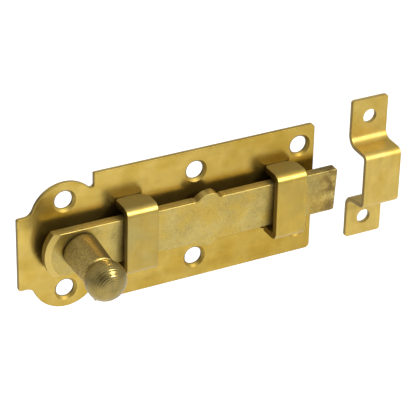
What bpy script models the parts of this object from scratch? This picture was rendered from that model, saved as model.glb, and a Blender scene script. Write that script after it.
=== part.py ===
"""Flat door bolt: a punched plate, two bridges, a sliding bar with a turned knob, and a loose keeper.

The frame: +X is the way the bar is thrown, -Y is the front, +Z is up.
The origin is the middle of the base plate's back face, in the plane y = 0. Lengths are in metres.
"""

from math import asin, atan2, cos, pi, radians, sin, sqrt, tau

import bmesh
import bpy
from mathutils import Vector

# Base plate
PLATE_LENGTH = 0.100
PLATE_WIDTH = 0.044
PLATE_THICKNESS = 0.0015
PLATE_RIGHT = PLATE_LENGTH / 2
PLATE_LEFT = -PLATE_RIGHT
PLATE_TOP = PLATE_WIDTH / 2
PLATE_CORNER_RADIUS = 0.0015
HEAD_LENGTH = 0.0248  # the shaped head, from the plate's left end to the notch
HEAD_TIP_WIDTH = 0.55 * PLATE_WIDTH
LOBE_RADIUS = 0.011
LOBE_CENTRE_X = PLATE_LEFT + 0.0154
LOBE_CENTRE_Z = PLATE_TOP - 0.012
LOBE_FILLET = 0.003
NOTCH_FILLET = 0.0009
TIP_CORNER_RADIUS = 0.0007

# Fits and finish
PIECE_GAP = 0.0002  # between pieces fastened together
RUNNING_GAP = 0.0003  # between the bar and the bridges
EDGE_ROUND = 0.00025
EDGE_STEPS = 3
CREASE_ANGLE = radians(35)  # a sharper edge than this is shaded as a crease
ROUNDED_ANGLE = radians(50)  # a sharper edge than this is rounded
ARC_STEP = radians(5)
BEND_STEPS = 12
TURNED_STEPS = 64
HOLE_STEPS = 48
OVERSHOOT = 0.001  # how far a cutter runs past the face it cuts

# Sliding bar
BAR_THICKNESS = 0.0030
BAR_WIDTH = 0.0150
BAR_TIP_X = PLATE_RIGHT + 0.0052
BAR_TAIL_X = PLATE_LEFT + 0.0063
BAR_TAIL_RISE = 0.0027  # how far the rounded tail stands out from its corners
BAR_TAIL_CHAMFER_WIDTH = 0.0018  # across the front face
BAR_TAIL_CHAMFER_DEPTH = 0.0006
BAR_TIP_RADIUS = 0.0008
BAR_LEAN = radians(4.5)  # the loose bar tips forward under the knob's weight
BAR_SIDE_PLAY = 0.0016  # from the bar's edge to a bridge leg
BAR_REAR_PLAY = 0.0021  # from the bar's lowest back edge to the plate
LEANING_BAR_DEPTH = BAR_WIDTH * sin(BAR_LEAN) + BAR_THICKNESS * cos(BAR_LEAN)
TRACK_DEPTH = RUNNING_GAP + LEANING_BAR_DEPTH + BAR_REAR_PLAY

# Bridges: two bent strips whose tenons pass through the plate and are peened over in sunk slots
BAR_Z = 0.0006  # height of the bar's middle above the plate's middle
REAR_BRIDGE_X = PLATE_LEFT + 0.0366
REAR_BRIDGE_Z = BAR_Z
FRONT_BRIDGE_X = PLATE_RIGHT - 0.0124
FRONT_BRIDGE_Z = BAR_Z - 0.0006
BRIDGE_WIDTH = 0.0104
BRIDGE_THICKNESS = 0.0022
BRIDGE_SPAN = BAR_WIDTH + 2 * (BAR_SIDE_PLAY + BRIDGE_THICKNESS)  # outside height, leg to leg
BRIDGE_REACH = PLATE_THICKNESS + TRACK_DEPTH + BRIDGE_THICKNESS  # from the plate's back face
BRIDGE_BEND_RADIUS = BRIDGE_THICKNESS + 0.0005  # outside of the bend
SHOULDER_INSETS = (0.0016, 0.0030)  # how far the left and right shoulders narrow the leg at the plate
SHOULDER_DEPTHS = (0.0010, 0.0036)
SHOULDER_STEPS = 10
TENON_STEP = 0.0001  # how far the leg stands out round its tenon
TENON_WIDTH = BRIDGE_WIDTH - 2 * (max(SHOULDER_INSETS) + TENON_STEP)
TENON_THICKNESS = BRIDGE_THICKNESS - 2 * TENON_STEP
TENON_FLARE = 0.0005
FLARE_DEPTH = 0.0007

# Stops: a swelling pressed out of each edge of the bar, which the rear bridge holds back
STOP_X = REAR_BRIDGE_X + 0.0235
STOP_LENGTH = 0.0088
STOP_BITE = 0.0003  # how far a stop reaches behind the bridge leg that it meets
STOP_HEIGHT = BAR_SIDE_PLAY + STOP_BITE
STOP_SHAPE = (  # (share of the length from the middle, share of the height), with a nick at each end
    (0.52, 0.0),
    (0.47, -0.16),
    (0.42, -0.10),
    (0.36, 0.30),
    (0.28, 0.74),
    (0.18, 0.96),
    (0.06, 1.0),
    (-0.08, 0.94),
    (-0.22, 0.74),
    (-0.33, 0.42),
    (-0.42, 0.08),
    (-0.47, -0.12),
    (-0.52, 0.0),
)

# Screw holes of the plate, countersunk: (x, height of the upper hole, depth of the lower one)
REAR_HOLES_X = PLATE_LEFT + 0.0152
MIDDLE_HOLES_X = (REAR_BRIDGE_X + FRONT_BRIDGE_X) / 2 - 0.0035
FRONT_HOLES_X = PLATE_RIGHT - 0.0053
SCREW_HOLES = (
    (REAR_HOLES_X, PLATE_TOP - 0.0070, PLATE_TOP - 0.0070),
    (MIDDLE_HOLES_X, PLATE_TOP - 0.0070, PLATE_TOP - 0.0070),
    (FRONT_HOLES_X, PLATE_TOP - 0.0065, PLATE_TOP - 0.0089),
)
SCREW_HOLE_RADIUS = 0.0029
COUNTERSINK_RADIUS = 0.0037
COUNTERSINK_DEPTH = 0.0008

# Knob, turned: lengths run from its seat on the bar
KNOB_X = BAR_TAIL_X + 0.01125
KNOB_RISE = 0.0006  # above the bar's middle
KNOB_TENON_RADIUS = 0.0030
KNOB_BASE_RADIUS = 0.0057
KNOB_BASE_CHAMFER = 0.0004
KNOB_NECK_RADIUS = 0.0052
KNOB_GROOVE_RADIUS = 0.0048
KNOB_GROOVE_FROM = 0.0129
KNOB_GROOVE_TO = 0.0139
KNOB_GROOVE_SLOPE = 0.0003
KNOB_RIM_RADIUS = 0.0050
KNOB_HEAD_RADIUS = 0.0062
KNOB_DOME_RADIUS = 0.0041
KNOB_LENGTH = 0.0216
KNOB_CURVE_STEPS = 8

# Keeper: a strip bent into a raised loop between two screw tabs
KEEPER_X = BAR_TIP_X + 0.0148
KEEPER_Z = 0.0023
KEEPER_WIDTH = 0.0130
KEEPER_HEIGHT = 0.0482
KEEPER_THICKNESS = 0.0015
KEEPER_SIDE_GAP = 0.00045  # from the bar's edge to a leg of the loop
KEEPER_FRONT_GAP = 0.0013  # the loop's inner face stands this far in front of the bridges' one
KEEPER_REACH = PLATE_THICKNESS + TRACK_DEPTH + KEEPER_FRONT_GAP + KEEPER_THICKNESS
KEEPER_LOOP_TOP = BAR_WIDTH / 2 + KEEPER_SIDE_GAP + KEEPER_THICKNESS  # outside, at the front
KEEPER_UPPER_FOOT = KEEPER_LOOP_TOP + 0.0004  # outside, where the upper leg meets its tab
KEEPER_LOWER_FOOT = KEEPER_LOOP_TOP + 0.0010
KEEPER_LOOP_BEND = 0.0023  # outside of the two bends at the loop
KEEPER_FOOT_BEND = 0.0027  # inside of the two bends at the tabs
KEEPER_CORNER_RADIUS = 0.0008
KEEPER_CORNER_STEPS = 4
KEEPER_HOLE_Z = KEEPER_HEIGHT / 2 - 0.00615
KEEPER_HOLE_RADIUS = 0.0024


def clear_scene():
    for thing in list(bpy.data.objects):
        bpy.data.objects.remove(thing, do_unlink=True)


def metal(name, colour, roughness):
    material = bpy.data.materials.new(name)
    material.use_nodes = True
    shader = material.node_tree.nodes["Principled BSDF"]
    shader.inputs["Base Color"].default_value = (*colour, 1.0)
    shader.inputs["Metallic"].default_value = 1.0
    shader.inputs["Roughness"].default_value = roughness
    return material


def add_object(name, mesh, material=None):
    thing = bpy.data.objects.new(name, mesh)
    bpy.context.scene.collection.objects.link(thing)
    if material:
        mesh.materials.append(material)
        mesh.shade_smooth()
        mesh.set_sharp_from_angle(angle=CREASE_ANGLE)
    return thing


def arc(centre, radius, start, end):
    """Points (x, z) of an arc, from angle start to angle end about its centre."""
    steps = max(2, round(abs(end - start) / ARC_STEP))
    angles = [start + (end - start) * i / steps for i in range(steps + 1)]
    return [(centre[0] + radius * cos(a), centre[1] + radius * sin(a)) for a in angles]


def mirrored_in_z(points):
    """The points, followed by their mirror images below the middle line, in order round the outline."""
    return points + [(x, -z) for x, z in reversed(points)]


def mesh_from(build):
    data = bmesh.new()
    build(data)
    bmesh.ops.remove_doubles(data, verts=data.verts, dist=1e-7)
    bmesh.ops.recalc_face_normals(data, faces=data.faces)
    mesh = bpy.data.meshes.new("solid")
    data.to_mesh(mesh)
    data.free()
    return mesh


def prism(outline, back, front):
    """The solid of an outline of (x, z) points between the depths y = back and y = front."""

    def build(data):
        base = [data.verts.new((x, back, z)) for x, z in outline]
        face = data.faces.new(base)
        raised = bmesh.ops.extrude_face_region(data, geom=[face])
        moved = [item for item in raised["geom"] if isinstance(item, bmesh.types.BMVert)]
        bmesh.ops.translate(data, verts=moved, vec=(0, front - back, 0))

    return mesh_from(build)


def loft(rings):
    """The closed solid through rings of equally many points, with a flat cap at each end."""

    def build(data):
        rows = [[data.verts.new(point) for point in ring] for ring in rings]
        count = len(rows[0])
        for near, far in zip(rows, rows[1:]):
            for i in range(count):
                j = (i + 1) % count
                data.faces.new((near[i], near[j], far[j], far[i]))
        data.faces.new(rows[0])
        data.faces.new(rows[-1])

    return mesh_from(build)


def turned(profile, steps):
    """The solid of revolution about the Y axis of a profile of (radius, y) points."""
    angles = [tau * i / steps for i in range(steps)]
    return loft([[(r * cos(a), y, r * sin(a)) for a in angles] for r, y in profile])


def cut(thing, meshes):
    """Takes the cutter meshes, each given with its place, out of an object."""
    for index, (mesh, place) in enumerate(meshes):
        cutter = add_object(f"{thing.name}_cutter_{index}", mesh)
        cutter.location = place
        cutter.parent = thing
        cutter.hide_render = True
        cutter.display_type = "WIRE"
        boolean = thing.modifiers.new("cut", "BOOLEAN")
        boolean.operation = "DIFFERENCE"
        boolean.solver = "EXACT"
        boolean.object = cutter


def round_edges(thing):
    bevel = thing.modifiers.new("edges", "BEVEL")
    bevel.width = EDGE_ROUND
    bevel.segments = EDGE_STEPS
    bevel.limit_method = "ANGLE"
    bevel.angle_limit = ROUNDED_ANGLE


def plate_outline():
    """The right end square with rounded corners, and the head with its two lobes round the screws."""
    corner = PLATE_CORNER_RADIUS
    notch_x = PLATE_LEFT + HEAD_LENGTH
    lobe = (LOBE_CENTRE_X, LOBE_CENTRE_Z)

    notch_reach = LOBE_RADIUS + NOTCH_FILLET
    notch_centre_x = notch_x - NOTCH_FILLET
    notch_rise = sqrt(notch_reach**2 - (notch_centre_x - lobe[0]) ** 2)
    notch_angle = atan2(notch_rise, notch_centre_x - lobe[0])

    tip_z = HEAD_TIP_WIDTH / 2
    fillet_reach = LOBE_RADIUS + LOBE_FILLET
    fillet_rise = tip_z + LOBE_FILLET - lobe[1]
    fillet_x = lobe[0] - sqrt(fillet_reach**2 - fillet_rise**2)
    fillet_angle = atan2(fillet_rise, fillet_x - lobe[0])

    upper = arc((PLATE_RIGHT - corner, PLATE_TOP - corner), corner, 0, pi / 2)
    upper += [(notch_x, PLATE_TOP)]
    upper += arc((notch_centre_x, lobe[1] + notch_rise), NOTCH_FILLET, 0, notch_angle - pi)
    upper += arc(lobe, LOBE_RADIUS, notch_angle, fillet_angle)
    upper += arc((fillet_x, tip_z + LOBE_FILLET), LOBE_FILLET, fillet_angle - pi, -pi / 2)
    tip_corner = (PLATE_LEFT + TIP_CORNER_RADIUS, tip_z - TIP_CORNER_RADIUS)
    upper += arc(tip_corner, TIP_CORNER_RADIUS, pi / 2, pi)
    return mirrored_in_z(upper)


def countersunk_cutter():
    slope = (COUNTERSINK_RADIUS - SCREW_HOLE_RADIUS) / COUNTERSINK_DEPTH
    profile = [
        (SCREW_HOLE_RADIUS, OVERSHOOT),
        (SCREW_HOLE_RADIUS, COUNTERSINK_DEPTH - PLATE_THICKNESS),
        (COUNTERSINK_RADIUS + slope * OVERSHOOT, -PLATE_THICKNESS - OVERSHOOT),
    ]
    return turned(profile, HOLE_STEPS)


def rectangle_ring(half_x, half_z, y):
    return [(half_x, y, half_z), (-half_x, y, half_z), (-half_x, y, -half_z), (half_x, y, -half_z)]


def slot_cutter():
    """A slot for one tenon, with a sunk flare at the back for the peened end."""
    half_x = TENON_WIDTH / 2 + PIECE_GAP
    half_z = TENON_THICKNESS / 2 + PIECE_GAP
    spread = TENON_FLARE * (1 + OVERSHOOT / FLARE_DEPTH)
    rings = [
        rectangle_ring(half_x + spread, half_z + spread, OVERSHOOT),
        rectangle_ring(half_x, half_z, -FLARE_DEPTH),
        rectangle_ring(half_x, half_z, -PLATE_THICKNESS - OVERSHOOT),
    ]
    return loft(rings)


def bridge_leg_offset():
    """From a bridge's middle to the middle of its leg's thickness."""
    return (BRIDGE_SPAN - BRIDGE_THICKNESS) / 2


def make_base_plate(material):
    plate = add_object("base_plate", prism(plate_outline(), 0, -PLATE_THICKNESS), material)
    round_edges(plate)
    cutters = []
    for x, above, below_middle in SCREW_HOLES:
        cutters += [(countersunk_cutter(), (x, 0, z)) for z in (above, -below_middle)]
    for x, z in ((REAR_BRIDGE_X, REAR_BRIDGE_Z), (FRONT_BRIDGE_X, FRONT_BRIDGE_Z)):
        for side in (1, -1):
            cutters.append((slot_cutter(), (x, 0, z + side * bridge_leg_offset())))
    cut(plate, cutters)
    return plate


def shoulder_inset(side, depth):
    """How much narrower the leg is on one side, at this depth in front of its seat."""
    share = min(1.0, depth / SHOULDER_DEPTHS[side])
    return SHOULDER_INSETS[side] * (1 - sqrt(1 - (1 - share) ** 2))


def bridge_path():
    """Stations along the strip's middle line, from the top tenon's end to halfway down the front:
    (point (y, z), outward normal (y, z), (left half width, right half width), half thickness)."""
    leg = bridge_leg_offset()
    half_width = BRIDGE_WIDTH / 2
    half_thickness = BRIDGE_THICKNESS / 2
    seat = -PLATE_THICKNESS - PIECE_GAP
    up = (0.0, 1.0)
    tenon = TENON_WIDTH / 2
    flare = tenon + TENON_FLARE
    stations = [
        ((-PIECE_GAP / 2, leg), up, (flare, flare), TENON_THICKNESS / 2 + TENON_FLARE),
        ((-FLARE_DEPTH, leg), up, (tenon, tenon), TENON_THICKNESS / 2),
        ((seat, leg), up, (tenon, tenon), TENON_THICKNESS / 2),
    ]
    for i in range(SHOULDER_STEPS + 1):
        depth = max(SHOULDER_DEPTHS) * (1 - cos(pi / 2 * i / SHOULDER_STEPS))
        widths = tuple(half_width - shoulder_inset(side, depth) for side in (0, 1))
        stations.append(((seat - depth, leg), up, widths, half_thickness))

    middle_radius = BRIDGE_BEND_RADIUS - half_thickness
    front = half_thickness - BRIDGE_REACH
    centre = (front + middle_radius, leg - middle_radius)
    for i in range(BEND_STEPS + 1):
        angle = pi / 2 * i / BEND_STEPS
        normal = (-sin(angle), cos(angle))
        point = (centre[0] + middle_radius * normal[0], centre[1] + middle_radius * normal[1])
        stations.append((point, normal, (half_width, half_width), half_thickness))
    return stations


def strip_section(widths, half_t):
    """A strip's cross-section with rounded edges: points (across, through the thickness)."""
    left, right = widths
    corners = ((1, 1, 0), (-1, 1, pi / 2), (-1, -1, pi), (1, -1, 3 * pi / 2))
    points = []
    for sign_x, sign_t, start in corners:
        half_x = right if sign_x > 0 else left
        for step in range(EDGE_STEPS + 1):
            angle = start + pi / 2 * step / EDGE_STEPS
            points.append(
                (
                    sign_x * (half_x - EDGE_ROUND) + EDGE_ROUND * cos(angle),
                    sign_t * (half_t - EDGE_ROUND) + EDGE_ROUND * sin(angle),
                )
            )
    return points


def strip_ring(x, middle_z, station):
    (y, z), (normal_y, normal_z), widths, half_t = station
    return [
        (x + across, y + through * normal_y, middle_z + z + through * normal_z)
        for across, through in strip_section(widths, half_t)
    ]


def below(stations):
    """The mirror images of the stations below the middle line, in order along the strip."""
    return [((y, -z), (ny, -nz), w, t) for (y, z), (ny, nz), w, t in reversed(stations)]


def make_bridge(name, x, z, material):
    half = bridge_path()
    return add_object(name, loft([strip_ring(x, z, station) for station in half + below(half)]), material)


def stop_outline():
    """Points along the bar's upper edge over one stop, from its right end to its left."""
    edge = BAR_WIDTH / 2
    return [(STOP_X + STOP_LENGTH * along, edge + STOP_HEIGHT * rise) for along, rise in STOP_SHAPE]


def tail_radius():
    return ((BAR_WIDTH / 2) ** 2 + BAR_TAIL_RISE**2) / (2 * BAR_TAIL_RISE)


def bar_outline():
    half = BAR_WIDTH / 2
    corner = BAR_TIP_RADIUS
    radius = tail_radius()
    upper = arc((BAR_TIP_X - corner, half - corner), corner, 0, pi / 2)
    upper += stop_outline()
    upper += arc((BAR_TAIL_X + radius, 0), radius, pi - asin(half / radius), pi)
    return mirrored_in_z(upper)


def tail_chamfer_cutter():
    """A wedge swept round the tail, about the middle of its arc."""
    radius = tail_radius()
    inner = radius - BAR_TAIL_CHAMFER_WIDTH - OVERSHOOT
    outer = radius + OVERSHOOT
    beyond = BAR_TAIL_CHAMFER_DEPTH * OVERSHOOT / BAR_TAIL_CHAMFER_WIDTH
    front = -BAR_THICKNESS / 2 - beyond
    wedge = ((inner, front), (outer, front), (outer, front + BAR_TAIL_CHAMFER_DEPTH + 2 * beyond))
    reach = asin(BAR_WIDTH / 2 / inner) + ARC_STEP
    steps = round(2 * reach / ARC_STEP)
    angles = [pi - reach + 2 * reach * i / steps for i in range(steps + 1)]
    return loft([[(r * cos(a), y, r * sin(a)) for r, y in wedge] for a in angles])


def knob_hole_cutter():
    """The hole for the knob's tenon, with a sunk flare at the bar's back."""
    radius = KNOB_TENON_RADIUS + PIECE_GAP
    half = BAR_THICKNESS / 2
    spread = TENON_FLARE * (1 + OVERSHOOT / FLARE_DEPTH)
    profile = [
        (radius + spread, half + OVERSHOOT),
        (radius, half - FLARE_DEPTH),
        (radius, -half - OVERSHOOT),
    ]
    return turned(profile, HOLE_STEPS)


def make_bar(material):
    half = BAR_THICKNESS / 2
    bar = add_object("bolt_bar", prism(bar_outline(), half, -half), material)
    round_edges(bar)
    tail_middle = (BAR_TAIL_X + tail_radius(), 0, 0)
    cut(bar, [(knob_hole_cutter(), (KNOB_X, 0, KNOB_RISE)), (tail_chamfer_cutter(), tail_middle)])
    bar.location = (0, -PLATE_THICKNESS - BAR_REAR_PLAY - LEANING_BAR_DEPTH / 2, BAR_Z)
    bar.rotation_euler.x = BAR_LEAN
    return bar


def knob_profile():
    """(radius, y) from the peened end at the bar's back to the middle of the domed head."""
    half_bar = BAR_THICKNESS / 2
    seat = -half_bar - PIECE_GAP
    rim = seat - KNOB_GROOVE_TO
    widest = seat - KNOB_LENGTH + KNOB_DOME_RADIUS
    profile = [
        (KNOB_TENON_RADIUS + TENON_FLARE, half_bar - PIECE_GAP / 2),
        (KNOB_TENON_RADIUS, half_bar - FLARE_DEPTH),
        (KNOB_TENON_RADIUS, seat),
        (KNOB_BASE_RADIUS - KNOB_BASE_CHAMFER, seat),
        (KNOB_BASE_RADIUS, seat - KNOB_BASE_CHAMFER),
        (KNOB_NECK_RADIUS, seat - KNOB_GROOVE_FROM),
        (KNOB_GROOVE_RADIUS, seat - KNOB_GROOVE_FROM - KNOB_GROOVE_SLOPE),
        (KNOB_GROOVE_RADIUS, rim + KNOB_GROOVE_SLOPE),
    ]
    quarter = [pi / 2 * i / KNOB_CURVE_STEPS for i in range(KNOB_CURVE_STEPS + 1)]
    for angle in quarter[:-1]:
        radius = KNOB_RIM_RADIUS + (KNOB_HEAD_RADIUS - KNOB_RIM_RADIUS) * sin(angle)
        profile.append((radius, rim + (widest - rim) * (1 - cos(angle))))
    for angle in quarter:
        radius = KNOB_HEAD_RADIUS - KNOB_DOME_RADIUS * (1 - cos(angle))
        profile.append((radius, widest - KNOB_DOME_RADIUS * sin(angle)))
    return profile


def make_knob(bar, material):
    knob = add_object("knob", turned(knob_profile(), TURNED_STEPS), material)
    knob.parent = bar
    knob.location = (KNOB_X, 0, KNOB_RISE)
    return knob


def keeper_path(foot):
    """Stations along the keeper's middle line, from one end to the loop's front, past a foot at this height."""
    half_t = KEEPER_THICKNESS / 2
    sides = (KEEPER_WIDTH / 2, KEEPER_WIDTH / 2)
    foot_radius = KEEPER_FOOT_BEND + half_t
    loop_radius = KEEPER_LOOP_BEND - half_t
    tab_y = -half_t
    loop_y = half_t - KEEPER_REACH
    loop_z = KEEPER_LOOP_TOP - half_t
    foot_z = foot - half_t
    turn = atan2(tab_y - loop_y, foot_z - loop_z)
    half_turn = sin(turn / 2) / cos(turn / 2)
    foot_centre = Vector((tab_y - foot_radius, foot_z + foot_radius * half_turn))
    loop_centre = Vector((loop_y + loop_radius, loop_z - loop_radius * half_turn))

    stations = []
    for i in range(KEEPER_CORNER_STEPS + 1):
        angle = pi / 2 * i / KEEPER_CORNER_STEPS
        half_x = KEEPER_WIDTH / 2 - KEEPER_CORNER_RADIUS * (1 - sin(angle))
        z = KEEPER_HEIGHT / 2 - KEEPER_CORNER_RADIUS * (1 - cos(angle))
        stations.append(((tab_y, z), (-1.0, 0.0), (half_x, half_x), half_t))
    for i in range(BEND_STEPS + 1):
        angle = turn * i / BEND_STEPS
        normal = Vector((-cos(angle), sin(angle)))
        stations.append((foot_centre - foot_radius * normal, normal, sides, half_t))
    for i in range(BEND_STEPS + 1):
        angle = turn * (1 - i / BEND_STEPS)
        normal = Vector((-cos(angle), sin(angle)))
        stations.append((loop_centre + loop_radius * normal, normal, sides, half_t))
    return stations


def make_keeper(material):
    stations = keeper_path(KEEPER_UPPER_FOOT) + below(keeper_path(KEEPER_LOWER_FOOT))
    keeper = add_object("keeper", loft([strip_ring(0, 0, station) for station in stations]), material)
    keeper.location = (KEEPER_X, 0, KEEPER_Z)
    hole = [(KEEPER_HOLE_RADIUS, OVERSHOOT), (KEEPER_HOLE_RADIUS, -KEEPER_THICKNESS - OVERSHOOT)]
    cut(keeper, [(turned(hole, HOLE_STEPS), (0, 0, side * KEEPER_HOLE_Z)) for side in (1, -1)])
    return keeper


def main():
    clear_scene()
    plate_metal = metal("yellow_zinc_plate", (0.62, 0.46, 0.16), 0.28)
    bridge_metal = metal("yellow_zinc_bridge", (0.60, 0.46, 0.18), 0.26)
    bar_metal = metal("yellow_zinc_bar", (0.52, 0.43, 0.18), 0.42)
    knob_metal = metal("yellow_zinc_knob", (0.36, 0.28, 0.12), 0.32)
    keeper_metal = metal("yellow_zinc_keeper", (0.64, 0.48, 0.18), 0.35)
    make_base_plate(plate_metal)
    make_bridge("rear_bridge", REAR_BRIDGE_X, REAR_BRIDGE_Z, bridge_metal)
    make_bridge("front_bridge", FRONT_BRIDGE_X, FRONT_BRIDGE_Z, bridge_metal)
    bar = make_bar(bar_metal)
    make_knob(bar, knob_metal)
    make_keeper(keeper_metal)


main()
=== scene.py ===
"""The door bolt's looks: yellow-passivated zinc on steel, in a white light tent.

Lengths are in metres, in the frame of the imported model: +X is the way the bar is thrown, -Y is the
front, +Z is up.
"""

from math import cos, hypot, pi, radians, sin, tau

import bpy
from mathutils import Euler, Matrix, Vector


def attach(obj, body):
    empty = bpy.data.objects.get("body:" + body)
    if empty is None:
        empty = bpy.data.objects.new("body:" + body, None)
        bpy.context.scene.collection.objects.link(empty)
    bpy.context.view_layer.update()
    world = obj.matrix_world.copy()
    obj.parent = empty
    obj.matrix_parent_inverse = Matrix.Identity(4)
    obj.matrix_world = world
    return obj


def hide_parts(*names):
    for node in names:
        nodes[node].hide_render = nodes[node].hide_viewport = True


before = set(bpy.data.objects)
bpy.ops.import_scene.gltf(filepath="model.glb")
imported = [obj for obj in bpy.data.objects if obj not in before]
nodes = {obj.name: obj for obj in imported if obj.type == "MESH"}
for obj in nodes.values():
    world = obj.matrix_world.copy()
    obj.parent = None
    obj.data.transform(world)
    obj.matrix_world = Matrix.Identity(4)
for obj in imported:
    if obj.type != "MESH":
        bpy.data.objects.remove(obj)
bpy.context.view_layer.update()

# Camera
CAMERA_TARGET = Vector((0.013934, 0.0, 0.0))
CAMERA_AZIMUTH = radians(-28.662)
CAMERA_ELEVATION = radians(29.147)
CAMERA_ROLL = radians(1.389)
CAMERA_DISTANCE = 0.62261
CAMERA_LENS = 175.2  # millimetres, like the sensor
CAMERA_SENSOR = 36.0
CAMERA_SHIFT = (0.0007, -0.0002)
CAMERA_CLIP = (0.01, 20.0)

# Studio: a floor that glows a little, and a white tent with a darker opening at the front
FLOOR_Z = -0.35
FLOOR_SIZE = 8.0
FLOOR_COLOUR = (0.90, 0.90, 0.90)
FLOOR_ROUGHNESS = 0.9
FLOOR_GLOW = 0.32
TENT_LIGHT = 0.80
TENT_OPENING = (-0.419, -0.766, 0.487)
TENT_OPENING_EDGE = (0.80, 0.97)  # cosines to the opening's middle
TENT_OPENING_LIGHT = 0.14
LIGHTS = (  # (name, direction, distance, size, watts)
    ("overhead_softbox", (0.0, -0.2, 1.0), 1.2, (1.4, 1.2), 2.5),
    ("key_softbox", (0.40, -0.60, 0.57), 1.0, (0.40, 0.40), 4.5),
    ("lamp", (0.37, -0.66, 0.42), 1.0, (0.14, 0.14), 6.5),
)

# Colours of yellow-passivated zinc: its film where it is bright, pale, worn or rubbed, where it has
# dulled to olive, and the brown of dirt and cut faces. The worn gold also paints a highlight, and
# the dark olive and the brown also paint shade
GOLD = (0.405, 0.276, 0.048)
PALE_GOLD = (0.455, 0.327, 0.080)
WORN_AND_HIGHLIGHT_GOLD = (0.500, 0.365, 0.105)
RUBBED_GOLD = (0.355, 0.248, 0.054)
BRONZE = (0.340, 0.250, 0.072)
OLIVE = (0.330, 0.258, 0.080)
PALE_OLIVE = (0.430, 0.330, 0.100)
DARK_OLIVE = (0.200, 0.152, 0.050)
BROWN = (0.110, 0.070, 0.022)

# How metallic the slightly milky film looks, and how rough each surface is
METALLIC = 0.94
KEEPER_METALLIC = 0.82
PLATE_ROUGHNESS = (0.20, 0.28)
PLATE_CUT_ROUGHNESS = 0.50
BRIDGE_ROUGHNESS = (0.34, 0.44)
BRIDGE_TOP_ROUGHNESS = 0.75
BAR_ROUGHNESS = (0.36, 0.50)
BAR_TOP_ROUGHNESS = 0.60
KNOB_ROUGHNESS = (0.23, 0.30)
SHANK_ROUGHNESS = 0.52
KEEPER_ROUGHNESS = (0.44, 0.54)

# Stretches of a noise, and depths of a surface's grain
EVERY_WAY = (1.0, 1.0, 1.0)
ALONG_X = (0.06, 1.0, 1.0)
ALONG_Z = (1.0, 1.0, 0.10)
FINE = 0.000003
COARSE = 0.000014

# Noises: (cells in a metre, detail, roughness)
CLOUDS = (70.0, 3.0, 0.55)
SHEEN = (160.0, 3.0, 0.55)
GRAIN = (1900.0, 3.0, 0.60)
MOTTLE = (330.0, 5.0, 0.65)
STREAKS = (520.0, 4.0, 0.55)
PATCHES = (130.0, 4.0, 0.60)
GRIT = (2200.0, 2.0, 0.80)
PITS = (1000.0, 4.0, 0.75)
GLINTS = (1500.0, 3.0, 0.55)
BLOTS = (260.0, 4.0, 0.70)
SHANK_GRIT = (1500.0, 3.0, 0.80)

# Noise values at which a colour or roughness changes, and the strengths of what is laid over a
# colour
CLOUD_STOPS = (0.36, 0.50, 0.64)
SHEEN_STOPS = (0.30, 0.70)
MOTTLE_STOPS = ((0.30, 0.70), (0.70, 1.0))
MOTTLE_STRENGTH = 0.45
STREAK_STOPS = ((0.32, 0.62), (0.62, 1.0))
STREAK_STRENGTH = 0.22
# Browning of cut faces, for most pieces and for the bar: on a sheet, whose faces that look up are
# left out, it is painted shade too
CUT_BROWNING_AND_SHADE = 0.6
BAR_CUT_BROWNING_AND_SHADE = 0.3
# Painted shade on the bridges' tops
BRIDGE_TOP_SHADE = 0.55
PATCH_STOPS = ((0.44, 0.0), (0.62, 0.8))
GRIT_STOPS = ((0.35, 0.62), (0.60, 1.0))
GRIT_STRENGTH = 0.45
PIT_STOPS = ((0.58, 0.0), (0.70, 0.60))
GLINT_STOPS = ((0.60, 0.0), (0.70, 0.7))
BLOT_STOPS = ((0.36, 0.0), (0.56, 0.9))
# Painted highlight on the bar's tail chamfer
CHAMFER_HIGHLIGHT = 0.75
SHANK_GRIT_STOPS = ((0.36, DARK_OLIVE), (0.60, WORN_AND_HIGHLIGHT_GOLD))

# Directions, and masks of the faces that look one way: the direction, and the cosines to it where
# the mask starts and is full
FRONT = (0.0, -1.0, 0.0)
BACK = (0.0, 1.0, 0.0)
UP = (0.0, 0.0, 1.0)
LEFT = (-1.0, 0.0, 0.0)
RIGHT = (1.0, 0.0, 0.0)
SHEET_FRONT = (FRONT, 0.30, 0.55)
SHEET_UP = (UP, 0.70, 0.90)
STRIP_LEFT = (LEFT, 0.75, 0.95)
STRIP_RIGHT = (RIGHT, 0.75, 0.95)
PLATE_FACE = (FRONT, 0.85, 0.97)
COUNTERSINK_SHADE = ((0.7, 0.0, -0.7), 0.40, 0.60)
BRIDGE_TOP = (UP, 0.80, 0.98)
BAR_TOP = (UP, 0.85, 0.97)
TAIL_CHAMFER = (LEFT, 0.12, 0.24)
TAIL_END = (LEFT, 0.55, 0.75)
# Painted shade on the knob shank's upper right
SHADED_SIDE = ((0.6, 0.0, 0.8), 0.45, 0.85)

# Painted shade: the plate's colour deepens from its upper left to its lower right: a direction, a
# span along it, and (share of the span, what the colour is multiplied by)
PLATE_SHADE_DIRECTION = (1.0, 0.0, -1.0)
PLATE_SHADE_SPAN = (-0.0625, 0.0625)
PLATE_SHADE_STOPS = (
    (0.10, (1.0, 1.0, 1.0)),
    (0.36, (0.90, 0.88, 0.82)),
    (0.90, (0.75, 0.70, 0.50)),
)

# Stains and painted shade that come or go along an axis: a span, and their strengths at its start
# and end
BORE_SPAN = (-0.00080, -0.00068)  # from the countersinks' lower rim into the screw holes
# Painted shade in the screw holes
BORE_SHADE = (0.0, 0.85)
BAR_TOP_SPAN = (-0.00683, -0.00583)  # across the bar's top, towards the plate
# Painted shade on the bar's top, darkest towards the plate
BAR_TOP_SHADE = (0.20, 0.90)
BAR_TIP_SPAN = (0.043, 0.053)  # from the front bridge to the bar's tip
SHANK_SPAN = (0.0150, 0.0160)  # along the knob, from the bar's middle to its groove
# Grit on the shank, and the strength of the painted shade on it
SHANK_GRIT_AND_SHADE = (0.75, 0.0)
# Painted shadow line where the knob meets the bar
BASE_LINE_SPAN = (0.0022, 0.0025)  # where the knob meets the bar

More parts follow.
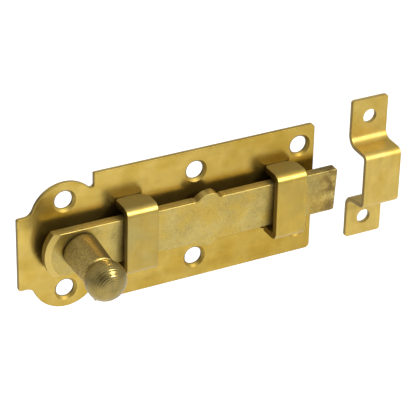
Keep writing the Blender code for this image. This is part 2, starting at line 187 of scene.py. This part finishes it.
# The knob, as built: the leaning bar's middle behind it, its rise above that, and its outline as
# (radius, distance from the bar's middle), up to the head. The turning tool left rings on the two
# quarter curves of the head
KNOB_PLACE = (-0.03245, -0.005684, 0.0006)
KNOB_RISE = 0.0006
KNOB_LEAN = radians(4.5)
KNOB_AXIS = Vector((0.0, -cos(KNOB_LEAN), -sin(KNOB_LEAN)))
KNOB_SHANK = (
    (0.0035, 0.0014),
    (0.0030, 0.0008),
    (0.0030, -0.0017),
    (0.0050, -0.0017),
    (0.0050, -0.0022),
    (0.0057, -0.0022),
    (0.0052, -0.0146),
    (0.0048, -0.0149),
    (0.0048, -0.0153),
)
KNOB_HEAD_BACK = (0.0050, -0.0156)
KNOB_HEAD_WIDEST = (0.0062, -0.0192)
KNOB_DOME_RADIUS = 0.0041
KNOB_CREASE = radians(40)  # a sharper edge than this is shaded as a crease
KNOB_SIDES = 128
QUARTER_STEPS = 90
RING_PITCH = 0.00078
RING_DEPTH = 0.000065
RING_STEPS = 10
SMALLEST_RADIUS = 0.00002  # of the last ring of points, which a small flat face closes


def link(tree, source, target):
    tree.links.new(source, target)


def node(tree, kind, **settings):
    made = tree.nodes.new(kind)
    for name, value in settings.items():
        setattr(made, name, value)
    return made


def feed(tree, socket, value):
    """Gives an input a link, a colour or a number."""
    if isinstance(value, bpy.types.NodeSocket):
        link(tree, value, socket)
    elif isinstance(value, tuple):
        socket.default_value = (*value, 1.0)
    else:
        socket.default_value = value


def grey(value):
    return (value, value, value)


def position(tree):
    return node(tree, "ShaderNodeTexCoord").outputs["Object"]


def noise(tree, kind, stretch=EVERY_WAY):
    """A noise value of one of the kinds above."""
    scale, detail, roughness = kind
    mapping = node(tree, "ShaderNodeMapping")
    mapping.inputs["Scale"].default_value = stretch
    link(tree, position(tree), mapping.inputs["Vector"])
    texture = node(tree, "ShaderNodeTexNoise")
    texture.inputs["Scale"].default_value = scale
    texture.inputs["Detail"].default_value = detail
    texture.inputs["Roughness"].default_value = roughness
    link(tree, mapping.outputs["Vector"], texture.inputs["Vector"])
    return texture.outputs["Fac"]


def ramp(tree, value, stops):
    """Maps a value through (place, colour or grey) stops."""
    made = node(tree, "ShaderNodeValToRGB")
    elements = made.color_ramp.elements
    while len(elements) < len(stops):
        elements.new(0.5)
    for element, (place, colour) in zip(elements, stops):
        element.position = place
        element.color = (*(colour if isinstance(colour, tuple) else grey(colour)), 1.0)
    link(tree, value, made.inputs["Fac"])
    return made.outputs["Color"]


def mix(tree, factor, first, second, blend="MIX"):
    made = node(tree, "ShaderNodeMix", data_type="RGBA", blend_type=blend)
    inputs = {socket.identifier: socket for socket in made.inputs}
    feed(tree, inputs["Factor_Float"], factor)
    feed(tree, inputs["A_Color"], first)
    feed(tree, inputs["B_Color"], second)
    return {socket.identifier: socket for socket in made.outputs}["Result_Color"]


def compute(tree, operation, first, second):
    """The sum, difference or product of two values, kept between 0 and 1."""
    made = node(tree, "ShaderNodeMath", operation=operation, use_clamp=True)
    feed(tree, made.inputs[0], first)
    feed(tree, made.inputs[1], second)
    return made.outputs[0]


def bump(tree, height, distance):
    made = node(tree, "ShaderNodeBump")
    made.inputs["Strength"].default_value = 1.0
    made.inputs["Distance"].default_value = distance
    link(tree, height, made.inputs["Height"])
    return made.outputs["Normal"]


def dot(tree, vector, axis):
    """A vector's length along an axis."""
    made = node(tree, "ShaderNodeVectorMath", operation="DOT_PRODUCT")
    link(tree, vector, made.inputs[0])
    made.inputs[1].default_value = axis
    return made.outputs["Value"]


def facing(tree, mask):
    """1 on the faces that one of the masks above takes, 0 elsewhere."""
    axis, low, high = mask
    normal = node(tree, "ShaderNodeTexCoord").outputs["Normal"]
    return ramp(tree, dot(tree, normal, axis), ((low, 0.0), (high, 1.0)))


def share(tree, axis, span):
    """How far a point is along a span of an axis: 0 at the span's start, 1 at its end."""
    start, end = span
    length = end - start
    scaled = dot(tree, position(tree), tuple(component / length for component in axis))
    return compute(tree, "SUBTRACT", scaled, start / length)


def fade(tree, axis, span, strengths):
    """A value that goes from the first strength to the last along a span of an axis."""
    first, last = strengths
    return ramp(tree, share(tree, axis, span), ((0.0, first), (1.0, last)))


def knob_fade(tree, span, strengths):
    """A fade along the knob, over a span that is measured from the bar's middle."""
    middle = KNOB_AXIS.dot(KNOB_PLACE)
    return fade(tree, KNOB_AXIS, [middle + distance for distance in span], strengths)


def sheet_cuts_and_shade(tree):
    """The sheared and drilled faces of a sheet lying on the door, but for those that look up: their
    own browner tone, and painted shade.
    """
    cuts_and_shade = compute(tree, "SUBTRACT", 1.0, facing(tree, SHEET_FRONT))
    return compute(tree, "SUBTRACT", cuts_and_shade, facing(tree, SHEET_UP))


def strip_cuts(tree):
    """The sheared faces at the sides of a bent strip."""
    return compute(tree, "ADD", facing(tree, STRIP_RIGHT), facing(tree, STRIP_LEFT))


def zinc(name, colours, roughness, stretch, grain_depth, cuts_and_shade=None, browning_and_shade=CUT_BROWNING_AND_SHADE):
    """Yellow zinc in soft clouds of three colours, with fine streaks, and browner cut faces that on
    a sheet also paint shade.
    """
    material = bpy.data.materials.new(name)
    material.use_nodes = True
    tree = material.node_tree
    shader = tree.nodes["Principled BSDF"]
    shader.inputs["Metallic"].default_value = METALLIC

    base = ramp(tree, noise(tree, CLOUDS), tuple(zip(CLOUD_STOPS, colours)))
    mottle = ramp(tree, noise(tree, MOTTLE), MOTTLE_STOPS)
    base = mix(tree, MOTTLE_STRENGTH, base, mottle, "MULTIPLY")
    streaks = ramp(tree, noise(tree, STREAKS, stretch), STREAK_STOPS)
    base = mix(tree, STREAK_STRENGTH, base, streaks, "MULTIPLY")
    if cuts_and_shade:
        brown = mix(tree, browning_and_shade, base, BROWN)
        base = mix(tree, cuts_and_shade(tree), base, brown)
    link(tree, base, shader.inputs["Base Color"])

    sheen = ramp(tree, noise(tree, SHEEN, stretch), tuple(zip(SHEEN_STOPS, roughness)))
    link(tree, sheen, shader.inputs["Roughness"])
    grain = noise(tree, GRAIN, stretch)
    link(tree, bump(tree, grain, grain_depth), shader.inputs["Normal"])
    return material


def rework(material, socket_name, change):
    """Passes what feeds one of the shader's inputs through a change."""
    tree = material.node_tree
    socket = tree.nodes["Principled BSDF"].inputs[socket_name]
    link(tree, change(tree, socket.links[0].from_socket), socket)


def plate_metal():
    """Brushed sheet, with painted shade deepening its colour to the right and below, and duller
    countersinks.
    """
    colours = (GOLD, PALE_GOLD, GOLD)
    material = zinc("yellow_zinc_plate", colours, PLATE_ROUGHNESS, ALONG_X, FINE, sheet_cuts_and_shade)

    # Painted shade: darker and deeper in colour towards the plate's lower right
    def paint_plate_shade(tree, base):
        film = ramp(tree, share(tree, PLATE_SHADE_DIRECTION, PLATE_SHADE_SPAN), PLATE_SHADE_STOPS)
        return mix(tree, 1.0, base, film, "MULTIPLY")

    def shade_bores(tree, base):
        """Painted shade in the screw holes, and in each countersink where it is in its own shade."""
        deep = fade(tree, BACK, BORE_SPAN, BORE_SHADE)
        bore = compute(tree, "SUBTRACT", deep, facing(tree, SHEET_UP))
        painted_shade = compute(tree, "ADD", bore, facing(tree, COUNTERSINK_SHADE))
        return mix(tree, painted_shade, base, BROWN)

    def roughen_cuts(tree, roughness):
        return mix(tree, facing(tree, PLATE_FACE), grey(PLATE_CUT_ROUGHNESS), roughness)

    rework(material, "Base Color", paint_plate_shade)
    rework(material, "Base Color", shade_bores)
    rework(material, "Roughness", roughen_cuts)
    return material


def bridge_metal(name, colours):
    """Rubbed strip, dulled on top: rougher there, with painted shade darkening it."""
    material = zinc(name, colours, BRIDGE_ROUGHNESS, ALONG_Z, FINE, strip_cuts)

    # Painted shade on the top
    def shade_top(tree, base):
        painted_shade = compute(tree, "MULTIPLY", facing(tree, BRIDGE_TOP), BRIDGE_TOP_SHADE)
        return mix(tree, painted_shade, base, DARK_OLIVE)

    def roughen_top(tree, roughness):
        return mix(tree, facing(tree, BRIDGE_TOP), roughness, grey(BRIDGE_TOP_ROUGHNESS))

    rework(material, "Base Color", shade_top)
    rework(material, "Roughness", roughen_top)
    return material


def bar_metal():
    """Olive, matte metal, scratched along its length, pitted, and stained at its tip, with painted
    shade on its top and a painted highlight on its tail's chamfer.
    """
    colours = (OLIVE, PALE_OLIVE, OLIVE)
    material = zinc(
        "yellow_zinc_bar", colours, BAR_ROUGHNESS, ALONG_X, COARSE, sheet_cuts_and_shade, BAR_CUT_BROWNING_AND_SHADE
    )

    def patch(tree, base):
        return mix(tree, ramp(tree, noise(tree, PATCHES), PATCH_STOPS), base, GOLD)

    def grind(tree, base):
        grit = ramp(tree, noise(tree, GRIT), GRIT_STOPS)
        return mix(tree, GRIT_STRENGTH, base, grit, "MULTIPLY")

    def shade_top(tree, base):
        """Painted shade on the top, darkest towards the plate."""
        painted_shade = fade(tree, BACK, BAR_TOP_SPAN, BAR_TOP_SHADE)
        return mix(tree, compute(tree, "MULTIPLY", facing(tree, BAR_TOP), painted_shade), base, DARK_OLIVE)

    def pit(tree, base):
        """Brown pits, and glints between them."""
        base = mix(tree, ramp(tree, noise(tree, PITS), PIT_STOPS), base, BROWN)
        return mix(tree, ramp(tree, noise(tree, GLINTS), GLINT_STOPS), base, PALE_GOLD)

    def stain_tip(tree, base):
        blots = ramp(tree, noise(tree, BLOTS), BLOT_STOPS)
        stain = compute(tree, "MULTIPLY", share(tree, RIGHT, BAR_TIP_SPAN), blots)
        return mix(tree, stain, base, BROWN)

    # Painted highlight: the tail's chamfer made lighter
    def highlight_chamfer(tree, base):
        chamfer = compute(tree, "SUBTRACT", facing(tree, TAIL_CHAMFER), facing(tree, TAIL_END))
        return mix(tree, compute(tree, "MULTIPLY", chamfer, CHAMFER_HIGHLIGHT), base, WORN_AND_HIGHLIGHT_GOLD)

    def roughen_top(tree, roughness):
        return mix(tree, facing(tree, BAR_TOP), roughness, grey(BAR_TOP_ROUGHNESS))

    for change in (patch, grind, shade_top, pit, stain_tip, highlight_chamfer):
        rework(material, "Base Color", change)
    rework(material, "Roughness", roughen_top)
    return material


def knob_metal():
    """Dark olive metal, rough and gritty on the shank, with painted shade on it, and bright on the
    ringed head.
    """
    colours = (BRONZE, DARK_OLIVE, BRONZE)
    material = zinc("yellow_zinc_knob", colours, KNOB_ROUGHNESS, EVERY_WAY, COARSE)

    def grind_shank(tree, base):
        grit = ramp(tree, noise(tree, SHANK_GRIT), SHANK_GRIT_STOPS)
        return mix(tree, knob_fade(tree, SHANK_SPAN, SHANK_GRIT_AND_SHADE), base, grit)

    def shade_shank(tree, base):
        """Painted shade on the shank's upper right, and a painted shadow line round its base."""
        shank = knob_fade(tree, SHANK_SPAN, SHANK_GRIT_AND_SHADE)
        side_shade = compute(tree, "MULTIPLY", facing(tree, SHADED_SIDE), shank)
        base = mix(tree, side_shade, base, BROWN)
        return mix(tree, knob_fade(tree, BASE_LINE_SPAN, (1.0, 0.0)), base, BROWN)

    def roughen_shank(tree, roughness):
        return mix(tree, knob_fade(tree, SHANK_SPAN, (1.0, 0.0)), roughness, grey(SHANK_ROUGHNESS))

    rework(material, "Base Color", grind_shank)
    rework(material, "Base Color", shade_shank)
    rework(material, "Roughness", roughen_shank)
    return material


def keeper_metal():
    """Cleaner strip than the bridges', with a milkier film."""
    colours = (GOLD, PALE_GOLD, GOLD)
    material = zinc("yellow_zinc_keeper", colours, KEEPER_ROUGHNESS, ALONG_Z, FINE, strip_cuts)
    shader = material.node_tree.nodes["Principled BSDF"]
    shader.inputs["Metallic"].default_value = KEEPER_METALLIC
    return material


def head_curve():
    """Closely spaced (radius, y) points of the head's smooth outline, from its back to its dome."""
    back_radius, back = KNOB_HEAD_BACK
    widest_radius, widest = KNOB_HEAD_WIDEST
    quarter = [pi / 2 * i / QUARTER_STEPS for i in range(QUARTER_STEPS + 1)]
    curve = []
    for angle in quarter:
        radius = back_radius + (widest_radius - back_radius) * sin(angle)
        curve.append((radius, back + (widest - back) * (1 - cos(angle))))
    for angle in quarter[1:]:
        radius = widest_radius - KNOB_DOME_RADIUS * (1 - cos(angle))
        curve.append((radius, widest - KNOB_DOME_RADIUS * sin(angle)))
    return curve + [(0.0, widest - KNOB_DOME_RADIUS)]


def ringed(curve):
    """The curve again in even steps, with the tool's rings cut into it."""
    step = RING_PITCH / RING_STEPS
    points = []
    travelled = 0.0
    due = 0.0
    for (r0, y0), (r1, y1) in zip(curve, curve[1:]):
        length = hypot(r1 - r0, y1 - y0)
        while due <= travelled + length:
            part = (due - travelled) / length
            cut = RING_DEPTH * (0.5 - 0.5 * cos(tau * due / RING_PITCH))
            inward = ((y1 - y0) / length, (r0 - r1) / length)
            radius = r0 + (r1 - r0) * part + inward[0] * cut
            y = y0 + (y1 - y0) * part + inward[1] * cut
            points.append((max(radius, SMALLEST_RADIUS), y))
            due += step
        travelled += length
    return points


def add_knob(material):
    """The knob again, with the tool's rings on its head."""
    profile = [*KNOB_SHANK, *ringed(head_curve())]
    angles = [tau * i / KNOB_SIDES for i in range(KNOB_SIDES)]
    points = [(r * cos(a), y, KNOB_RISE + r * sin(a)) for r, y in profile for a in angles]
    last_ring = len(points) - KNOB_SIDES
    faces = []
    for near in range(0, last_ring, KNOB_SIDES):
        far = near + KNOB_SIDES
        for i in range(KNOB_SIDES):
            j = (i + 1) % KNOB_SIDES
            faces.append((near + i, near + j, far + j, far + i))
    faces.append(tuple(reversed(range(KNOB_SIDES))))
    faces.append(tuple(range(last_ring, len(points))))
    mesh = bpy.data.meshes.new("turned_knob")
    mesh.from_pydata(points, [], faces)
    mesh.transform(Matrix.Translation(KNOB_PLACE) @ Matrix.Rotation(KNOB_LEAN, 4, "X"))
    mesh.materials.append(material)
    mesh.shade_smooth()
    mesh.set_sharp_from_angle(angle=KNOB_CREASE)
    knob = bpy.data.objects.new("turned_knob", mesh)
    bpy.context.scene.collection.objects.link(knob)
    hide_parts("knob")
    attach(knob, "bolt")


def dress(name, material):
    """Gives a CAD node the material all over."""
    target = nodes[name]
    if not target.material_slots:
        target.data.materials.append(material)
    for slot in target.material_slots:
        slot.material = material


def add_floor():
    half = FLOOR_SIZE / 2
    corners = [(-half, -half, 0), (half, -half, 0), (half, half, 0), (-half, half, 0)]
    mesh = bpy.data.meshes.new("studio_floor")
    mesh.from_pydata(corners, [], [(0, 1, 2, 3)])
    floor = bpy.data.objects.new("studio_floor", mesh)
    floor.location.z = FLOOR_Z
    bpy.context.scene.collection.objects.link(floor)
    material = bpy.data.materials.new("pale_floor")
    material.use_nodes = True
    shader = material.node_tree.nodes["Principled BSDF"]
    shader.inputs["Base Color"].default_value = (*FLOOR_COLOUR, 1.0)
    shader.inputs["Roughness"].default_value = FLOOR_ROUGHNESS
    shader.inputs["Emission Color"].default_value = (1.0, 1.0, 1.0, 1.0)
    shader.inputs["Emission Strength"].default_value = FLOOR_GLOW
    mesh.materials.append(material)


def add_light(name, direction, distance, size, power):
    """A soft box that looks at the middle of the plate."""
    data = bpy.data.lights.new(name, "AREA")
    data.shape = "RECTANGLE"
    data.size, data.size_y = size
    data.energy = power
    light = bpy.data.objects.new(name, data)
    away = Vector(direction).normalized()
    light.location = away * distance
    light.rotation_euler = away.to_track_quat("Z", "Y").to_euler()
    light.visible_camera = False
    bpy.context.scene.collection.objects.link(light)


def add_camera():
    away = Vector((
        sin(CAMERA_AZIMUTH) * cos(CAMERA_ELEVATION),
        -cos(CAMERA_AZIMUTH) * cos(CAMERA_ELEVATION),
        sin(CAMERA_ELEVATION),
    ))
    data = bpy.data.cameras.new("camera")
    data.lens = CAMERA_LENS
    data.sensor_width = CAMERA_SENSOR
    data.shift_x, data.shift_y = CAMERA_SHIFT
    data.clip_start, data.clip_end = CAMERA_CLIP
    camera = bpy.data.objects.new("camera", data)
    camera.location = CAMERA_TARGET + away * CAMERA_DISTANCE
    aim = (-away).to_track_quat("-Z", "Y").to_matrix()
    camera.rotation_euler = (aim @ Euler((0, 0, CAMERA_ROLL)).to_matrix()).to_euler()
    bpy.context.scene.collection.objects.link(camera)
    bpy.context.scene.camera = camera


def set_world():
    """A white tent, with the darker opening through which the pieces are seen."""
    world = bpy.data.worlds.new("studio")
    world.use_nodes = True
    tree = world.node_tree
    direction = node(tree, "ShaderNodeTexCoord").outputs["Generated"]
    brightness = tuple(zip(TENT_OPENING_EDGE, (TENT_LIGHT, TENT_OPENING_LIGHT)))
    light = ramp(tree, dot(tree, direction, TENT_OPENING), brightness)
    link(tree, light, tree.nodes["Background"].inputs["Color"])
    bpy.context.scene.world = world
    bpy.context.scene.view_settings.view_transform = "Standard"


dress("base_plate", plate_metal())
dress("rear_bridge", bridge_metal("olive_zinc_bridge", (OLIVE, RUBBED_GOLD, OLIVE)))
dress("front_bridge", bridge_metal("yellow_zinc_bridge", (RUBBED_GOLD, GOLD, RUBBED_GOLD)))
dress("bolt_bar", bar_metal())
add_knob(knob_metal())
dress("keeper", keeper_metal())

add_floor()
for light in LIGHTS:
    add_light(*light)
set_world()
add_camera()
